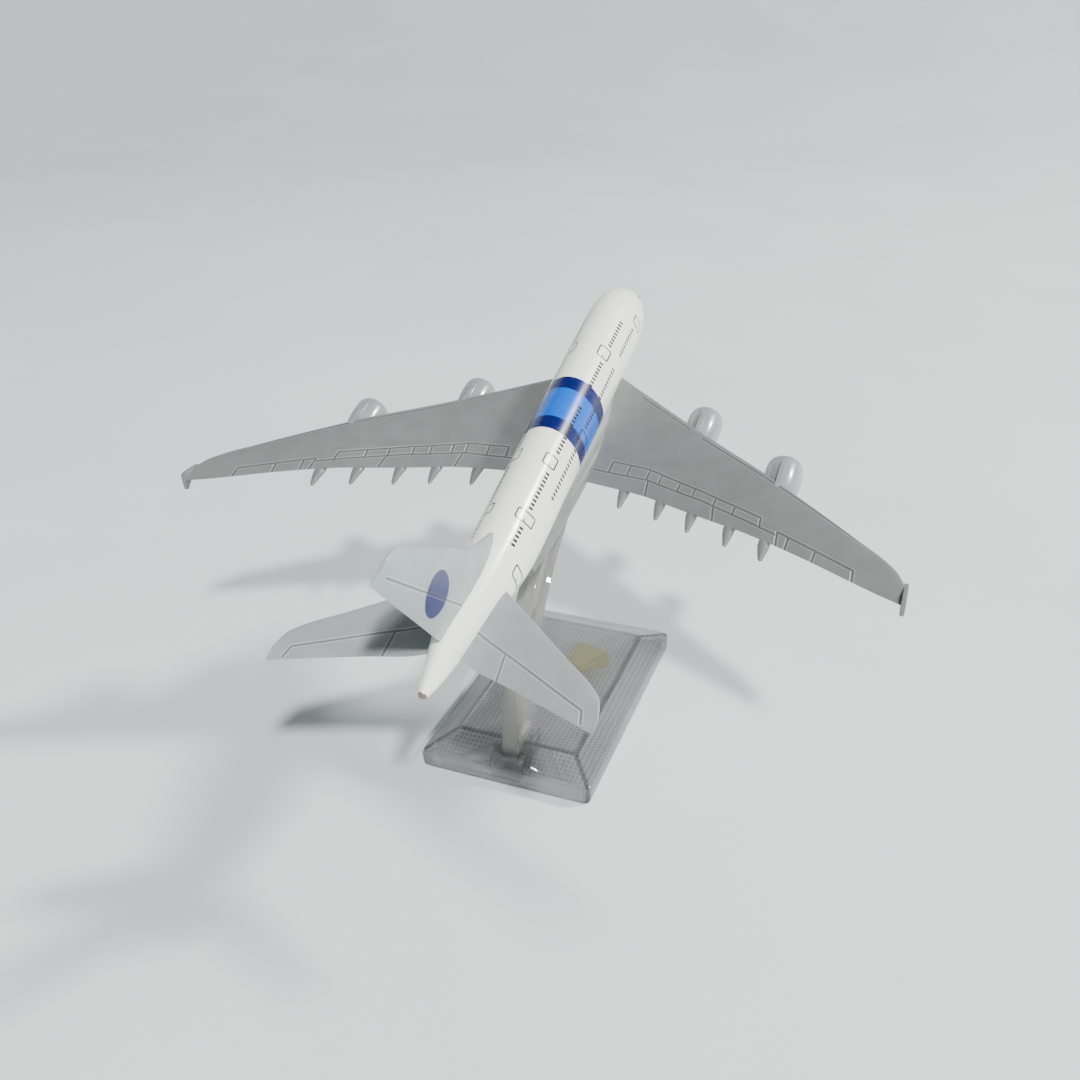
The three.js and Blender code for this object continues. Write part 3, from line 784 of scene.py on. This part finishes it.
# height over the face, radius
SCREW = [(-0.02, 0.05), (0.0, 0.9), (0.12, 1.25), (0.4, 1.45), (0.9, 1.5), (0.9, 0.75), (5.2, 0.7),
         (5.6, 0.05)]
SLOT_LONG, SLOT_WIDE, SLOT_LOW, SLOT_HIGH = 0.75, 0.16, -11.6, -10.9      # half sizes, then heights


def screw(station, name):
    """A round head with crossed slots, and its shank."""
    rings = [[craft(r * math.cos(turn), station + r * math.sin(turn), SCREW_FACE + up) for turn in turns(40)]
             for up, r in SCREW]
    head = Shape().loft(rings).build(name, 35)
    for wide, deep in ((SLOT_LONG, SLOT_WIDE), (SLOT_WIDE, SLOT_LONG)):
        cut(head, block((-wide, station - deep, SLOT_LOW), (wide, station + deep, SLOT_HIGH), craft))
    return claim(head, "airliner", "screw_steel", name.replace("_turned", ""))


# ---------- stand ----------
DIMPLE_PITCH, DIMPLE_EDGE = 1.2, (0.16, 0.30)     # radii where a dimple's edge starts and ends, in pitches
EDGE_SHADE_FADE = (0.4, 0.75)                  # distances over which the painted dark line along an edge, painted shade for light bent there, fades
# half sizes at the rim, its height and corner radius, half sizes of the flat top and its height
BASE = {"x": 22.95, "y": 39.28, "rim": 4.7, "corner": 1.7, "px": 16.3, "py": 30.2, "top": 7.8}
BASE_WALL = 1.6
SLEEVE = ((-4.0, -37.0, 0.6), (4.0, -22.0, 7.0))            # the block round the socket
SOCKET = ((-2.45, -35.35, 1.35), (2.45, -23.65, 12))
CEILING = 2.5        # the hollow's faces that look down are dimpled above this height


def rounded(half_x, half_y, corner, z, per=8):
    """A rectangle with round corners, each of per steps."""
    ring = []
    for quarter, (sx, sy) in enumerate(((1, 1), (-1, 1), (-1, -1), (1, -1))):
        for i in range(per + 1):
            angle = (quarter + i / per) * math.pi / 2
            ring.append(stand(sx * (half_x - corner) + corner * math.cos(angle),
                              sy * (half_y - corner) + corner * math.sin(angle), z))
    return ring


def base():
    """A hollow plinth with a sloping shoulder and a socket for the arm's foot."""
    x, y, rim, corner, px, py, top = (BASE[k] for k in ("x", "y", "rim", "corner", "px", "py", "top"))
    wall = BASE_WALL
    inner = (x - wall, y - wall)
    outside = [
        rounded(px - 0.4, py - 0.4, 0.5, top), rounded(px - 0.15, py - 0.15, 0.7, top - 0.04),
        rounded(px, py, 0.8, top - 0.15), rounded(x - 0.5, y - 0.5, corner - 0.2, rim + 0.18),
        rounded(x - 0.2, y - 0.2, corner, rim + 0.02), rounded(x - 0.05, y - 0.05, corner, rim - 0.12),
        rounded(x, y, corner, rim - 0.35), rounded(x, y, corner, 0.4),
        rounded(x - 0.08, y - 0.08, corner, 0.12), rounded(x - 0.25, y - 0.25, corner, 0.0)]
    inside = [
        rounded(inner[0] + 0.2, inner[1] + 0.2, corner - 1.2, 0.0), rounded(*inner, corner - 1.3, 0.25),
        rounded(*inner, corner - 1.3, rim - wall + 0.2),
        rounded(inner[0] - 0.4, inner[1] - 0.4, corner - 1.4, rim - wall + 0.5),
        rounded(px - 0.5, py - 0.5, 0.4, top - wall - 0.1), rounded(px - 0.8, py - 0.8, 0.3, top - wall)]
    plinth = Shape().loft(outside + inside).build("plinth", 14)
    cut(plinth, block(*SLEEVE, stand), "UNION")
    return cut(plinth, block(*SOCKET, stand))


# the arm's front and rear edges from the foot up: distance ahead of the base's middle, height
ARM_FRONT = [
    (-23.95, 1.7), (-23.95, 9), (-23.7, 14), (-22.8, 20), (-20.3, 28), (-16.6, 35.8), (-12.6, 41.8),
    (-8.2, 47), (-3, 51.9), (3, 57.2), (8.1, 63.4), (9.7, 72.0)]
ARM_REAR = [
    (-35.05, 1.7), (-35.05, 9), (-35.0, 14), (-34.6, 21), (-33.2, 29), (-29.6, 38.5), (-24, 47),
    (-19.6, 52), (-15, 56.3), (-10.4, 60.5), (-7.6, 63.7), (-4.15, 66.95)]
ARM_RINGS = 110
EDGE_HALF, BEAD = 2.15, 1.5               # half thickness at the edges, width of an edge
WEB_HALF, FILL = 1.05, 1.1               # half thickness between the edges, what is added to it at the ends
SOLID_BELOW, SOLID_ABOVE, SOLID_FADE = 0.13, 0.93, 0.03     # fractions of its length where the arm has no web
PEG = ((-1.2, 63.0, -11.9), (1.2, 71.0, -7.2))              # x, station, height


def curve_points(points, count):
    """Points along a smooth curve through the given ones."""
    out = []
    for i in range(count + 1):
        t = i / count * (len(points) - 1)
        k = min(int(t), len(points) - 2)
        f = t - k
        p0, p1, p2, p3 = (np.array(points[min(max(k + d, 0), len(points) - 1)], float) for d in (-1, 0, 1, 2))
        out.append(0.5 * (2 * p1 + (p2 - p0) * f + (2 * p0 - 5 * p1 + 4 * p2 - p3) * f**2
                          + (3 * p1 - p0 - 3 * p2 + p3) * f**3))
    return out


def arm_profile(web):
    """Distance from an edge of the arm, half thickness there."""
    half, bead, rib = EDGE_HALF, BEAD, 0.25 * (EDGE_HALF - web)
    return [(0.0, half - 0.5), (0.15, half - 0.15), (0.5, half), (bead - 0.35, half), (bead, web + 0.15),
            (bead + 0.35, web), (bead + 1.1, web), (bead + 1.3, web + rib), (bead + 1.7, web + rib),
            (bead + 1.9, web)]


def arm():
    """A curved blade with thick edges and a thinner web, solid at its foot and top."""
    rings = []
    edges = zip(curve_points(ARM_FRONT, ARM_RINGS), curve_points(ARM_REAR, ARM_RINGS))
    for i, (front, rear) in enumerate(edges):
        t = i / ARM_RINGS
        near_end = max((SOLID_BELOW - t) / SOLID_FADE, (t - SOLID_ABOVE) / SOLID_FADE)
        web = WEB_HALF + FILL * min(1, max(0, near_end))
        wide = float(np.linalg.norm(front - rear))
        across = [(d / wide, h) for d, h in arm_profile(web)]
        upper = across + [(1 - d, h) for d, h in reversed(across)]
        loop = upper + [(c, -h) for c, h in reversed(upper)]
        rings.append([stand(h, *(rear + (front - rear) * c)) for c, h in loop])
    blade = Shape().loft(rings).build("display_arm", 40)
    return cut(blade, block(*PEG, craft), "UNION")


# the label's outline, x and y from its middle
LABEL = [(-5, 8), (-0.6, 7.3), (4.5, 6), (6.2, 2.4), (7.5, -1), (4.2, -4.1), (0.5, -7), (-2.6, -5.7),
         (-6, -4), (-5.6, 2)]
LABEL_X, LABEL_Y = 4.5, 14
LABEL_FACES = ((5.86, 0.99), (5.62, 1.0))                   # height, scale
LABEL_CURL, LABEL_WAVE = 0.05, 0.7


def sticker():
    """A small sheet of paper, slightly uneven."""
    rings = []
    for z, grow in LABEL_FACES:
        rings.append([stand(LABEL_X + x * grow, LABEL_Y + y * grow, z - LABEL_CURL * math.sin(x * LABEL_WAVE))
                      for x, y in LABEL])
    return Shape().loft(rings).build("blank_label", 40)


REFRACTING = 0.66                        # share of light that the clear plastic bends and reflects


def clear_plastic(name, tint, milky):
    """Clear moulded plastic with faint flow marks."""
    paint = Paint(name)
    colour = paint.mix(paint.step(paint.noise(70, 3), 0.3, 0.8), tint, shaded(tint, 0.9))
    paint.set(IOR=1.45, Transmission_Weight=1.0 - milky)
    paint.feed(paint.shader.inputs["Roughness"], paint.maths("MULTIPLY", paint.noise(900, 4), 0.03))
    paint.bump(paint.noise(160, 3), 0.05, 0.3)
    see = paint.tree.nodes.new("ShaderNodeBsdfTransparent")
    both = paint.tree.nodes.new("ShaderNodeMixShader")
    both.inputs[0].default_value = REFRACTING
    output = paint.tree.nodes["Material Output"]
    paint.tree.links.new(see.outputs[0], both.inputs[1])
    paint.tree.links.new(paint.shader.outputs[0], both.inputs[2])
    paint.tree.links.new(both.outputs[0], output.inputs["Surface"])
    paint.colour_sockets = (paint.shader.inputs["Base Color"], see.inputs[0])
    paint.feed_colours(colour)
    return paint


def plinth_plastic(name, dots):
    """The plinth's plastic: painted dark lines along the edges of its faces stand in for light bent there,
    and a grid of dimples underneath is drawn as dark dots of painted shade.
    """
    paint = clear_plastic(name, PLINTH_CLEAR, 0.12)
    x, y, _ = paint.split(paint.vector("SUBTRACT", paint.coordinates, (0, BASE_Y, TABLE)))
    u, v = (paint.maths("ABSOLUTE", paint.maths("MULTIPLY", place, PER_METRE)) for place in (x, y))
    plateau, rim = (BASE["px"], BASE["py"]), (BASE["x"], BASE["y"])
    if dots:
        fractions = [paint.maths("FRACT", paint.maths("DIVIDE", place, DIMPLE_PITCH)) for place in (u, v)]
        cells = [paint.maths("SUBTRACT", fraction, 0.5) for fraction in fractions]
        mark = paint.maths("SUBTRACT", 1, paint.step(paint.radius(*cells), *DIMPLE_EDGE))
        # the dimple grid is real; the dots' darkness is painted shade
        paint.recolour(paint.maths("MULTIPLY", mark, 0.9), DIMPLE_PAINTED_SHADE)
    else:
        # painted shade: dark lines along the plateau's edges and corner mitres, where the clear plastic bends
        # the light
        edges = [(plateau, rim), ((plateau[0], 0), plateau), ((0, plateau[1]), plateau)]
        near = paint.nearest_line(u, v, edges)
        mark = paint.maths("SUBTRACT", 1, paint.step(near, *EDGE_SHADE_FADE))
        paint.recolour(paint.maths("MULTIPLY", mark, 0.8), EDGE_PAINTED_SHADE)
    return paint


def plain_paint(name, colour, roughness, metallic=0.0, coat=0.3, grain=600, distance=0.03):
    """A sprayed or moulded finish with fine grain and slight unevenness."""
    paint = Paint(name)
    patchy = paint.mix(paint.step(paint.noise(220, 4), 0.35, 0.7), colour, shaded(colour, 0.86))
    paint.feed(paint.shader.inputs["Base Color"], patchy)
    uneven = paint.maths("MULTIPLY_ADD", paint.noise(grain, 3), 0.18, roughness)
    paint.feed(paint.shader.inputs["Roughness"], uneven)
    paint.set(Metallic=metallic, Coat_Weight=coat, Coat_Roughness=0.08)
    paint.bump(paint.noise(grain, 3), distance, 0.5)
    return paint


# ---------- assembly ----------
SIDES = ((1, "right"), (-1, "left"))
ELEVATOR_LINES = line_chain([(3.6, 131.8), (32.5, 146.7), (33.2, 149.6)]) + [((12.6, 137), (13, 143.2))]
RUDDER_LINE = [((150.8, 39.3), (130.4, 8.6))]
BELLY_LINES = line_chain([(0, 47), (5.4, 47), (5.4, 82), (0, 82)])
FRONT_SCREW, REAR_SCREW = 41, 88         # stations

body = claim(cut(fuselage(), block(*PEG_SLOT, craft)), "airliner", "fuselage_enamel", "fuselage_shell")
fuselage_paint().apply(body)
wings = [claim(wing(side), "airliner", "wing_grey", word + "_wing") for side, word in SIDES]
grey_casting("wing_enamel", WING_GREY, wing_lines()).apply(*wings)
belly = claim(fairing(), "airliner", "wing_grey", "belly_fairing")
grey_casting("belly_enamel", WING_GREY, BELLY_LINES).apply(belly)
tails = [claim(tailplane(side), "airliner", "tailplane_grey", word + "_tailplane") for side, word in SIDES]
grey_casting("tailplane_enamel", TAIL_GREY, ELEVATOR_LINES, peel=0.5).apply(*tails)
tail_fin = claim(fin(), "airliner", "fin_paint", "fin")
fin_paint = grey_casting("fin_enamel", FIN_GREY, RUDDER_LINE, axes=(1, 2), roughness=0.22, peel=0.4)
fin_mark(fin_paint)
fin_paint.apply(tail_fin)
nacelle_paint = plain_paint("nacelle_gloss", NACELLE_GREY, 0.18, 0.0, 0.6, 300)
dark_paint = plain_paint("engine_dark_grey", ENGINE_DARK, 0.4, 0.4, 0.1)
for side, _ in SIDES:
    for position in ENGINES:
        cowl, core, fan, pylon = engine(side, position)
        nacelle_paint.apply(cowl, pylon)
        dark_paint.apply(core, fan)
screws = [screw(FRONT_SCREW, "belly_screw_front_turned"), screw(REAR_SCREW, "belly_screw_rear_turned")]
plain_paint("screw_plating", SCREW_STEEL, 0.25, 1.0, 0.0, 1200).apply(*screws)
plinth = claim(base(), "base", "stand_clear", "stand_base")
plinth_plastic("clear_plinth", dots=False).apply(plinth)
plinth.data.materials.append(plinth_plastic("clear_dimpled", dots=True).material)
for polygon in plinth.data.polygons:
    ceiling = polygon.normal.z < -0.5 and polygon.center.z > TABLE + CEILING * MM
    polygon.material_index = 1 if ceiling else 0
blade = claim(arm(), "arm", "stand_clear", "stand_arm")
clear_plastic("clear_arm", ARM_CLEAR, 0.5).apply(blade)
label = claim(sticker(), "base", "label_paper", "price_sticker")
plain_paint("label_paper_fibre", LABEL_YELLOW, 0.7, 0.0, 0.0, 2500, 0.05).apply(label)

# ---------- floor, light and camera ----------
FLOOR_DROP = 0.0001        # metres; keeps the floor clear of the base's rim
FLOOR_RADIUS, BEND_RADIUS, WALL_TOP = 1.1, 1.8, 1.85        # metres
FLOOR_POINTS, BEND_STEPS = 96, 24


def sweep():
    """A round flat floor whose rim curves up into a low wall on all sides."""
    around = FLOOR_POINTS
    bend = [math.pi / 2 * i / BEND_STEPS for i in range(BEND_STEPS + 1)]
    profile = [(FLOOR_RADIUS + BEND_RADIUS * math.sin(a), BEND_RADIUS * (1 - math.cos(a))) for a in bend]
    profile.append((FLOOR_RADIUS + BEND_RADIUS, WALL_TOP))
    points = [(radius * math.cos(turn), BASE_Y + radius * math.sin(turn), z + TABLE - FLOOR_DROP)
              for radius, z in profile for turn in turns(around)]
    faces = [(r * around + k, (r + 1) * around + k, (r + 1) * around + (k + 1) % around,
              r * around + (k + 1) % around) for r in range(len(profile) - 1) for k in range(around)]
    mesh = bpy.data.meshes.new("floor")
    mesh.from_pydata(points, [], [tuple(range(around))] + faces)
    mesh.polygons.foreach_set("use_smooth", [False] + [True] * len(faces))
    obj = bpy.data.objects.new("floor", mesh)
    bpy.context.scene.collection.objects.link(obj)
    return obj


floor = sweep()
ground = Paint("pale_floor")
tone = ground.mix(ground.step(ground.noise(6, 4), 0.3, 0.7), *FLOOR_TONES)
ground.feed(ground.shader.inputs["Base Color"], tone)
ground.set(Roughness=0.85)
ground.bump(ground.noise(1400, 4), 0.05, 0.25)
ground.apply(floor)


def area_light(name, place, target, size, power):
    data = bpy.data.lights.new(name, "AREA")
    data.shape, data.size, data.energy = "DISK", size, power
    lamp = bpy.data.objects.new(name, data)
    lamp.location = place
    lamp.rotation_euler = (Vector(target) - Vector(place)).to_track_quat("-Z", "Y").to_euler()
    bpy.context.scene.collection.objects.link(lamp)


LAMP_DISTANCE = 2.4        # metres
TARGET_HEIGHT = 0.05       # metres over the table
# name, direction from the target, size in metres, power in watts
LAMPS = [("key", (0.59, 0.406, 0.695), 0.34, 76), ("front", (0.388, -0.573, 0.728), 0.17, 86)]
target = Vector((0, BASE_Y, TABLE + TARGET_HEIGHT))
for lamp_name, towards, size, power in LAMPS:
    area_light(lamp_name, target + Vector(towards) * LAMP_DISTANCE, target, size, power)
SKY, SKY_STRENGTH = (0.93, 0.97, 1.0, 1), 0.10
world = bpy.data.worlds.new("studio")
world.use_nodes = True
background = world.node_tree.nodes["Background"]
background.inputs["Color"].default_value = SKY
background.inputs["Strength"].default_value = SKY_STRENGTH
bpy.context.scene.world = world

HEADING, DIP, ROLL = (math.radians(a) for a in (20.32, 27.2, 0.26))
CAMERA_PLACE = (85.7, -244.5, 184.7)     # mm from the middle of the base's underside
LENS, SENSOR = 36.67, 36                 # mm
camera_data = bpy.data.cameras.new("camera")
camera_data.lens, camera_data.sensor_width = LENS, SENSOR
camera = bpy.data.objects.new("camera", camera_data)
camera.matrix_world = (
    Matrix.Translation(Vector(stand(*CAMERA_PLACE))) @ Matrix.Rotation(HEADING, 4, "Z")
    @ Matrix.Rotation(math.pi / 2 - DIP, 4, "X") @ Matrix.Rotation(ROLL, 4, "Z"))
bpy.context.scene.collection.objects.link(camera)
bpy.context.scene.camera = camera
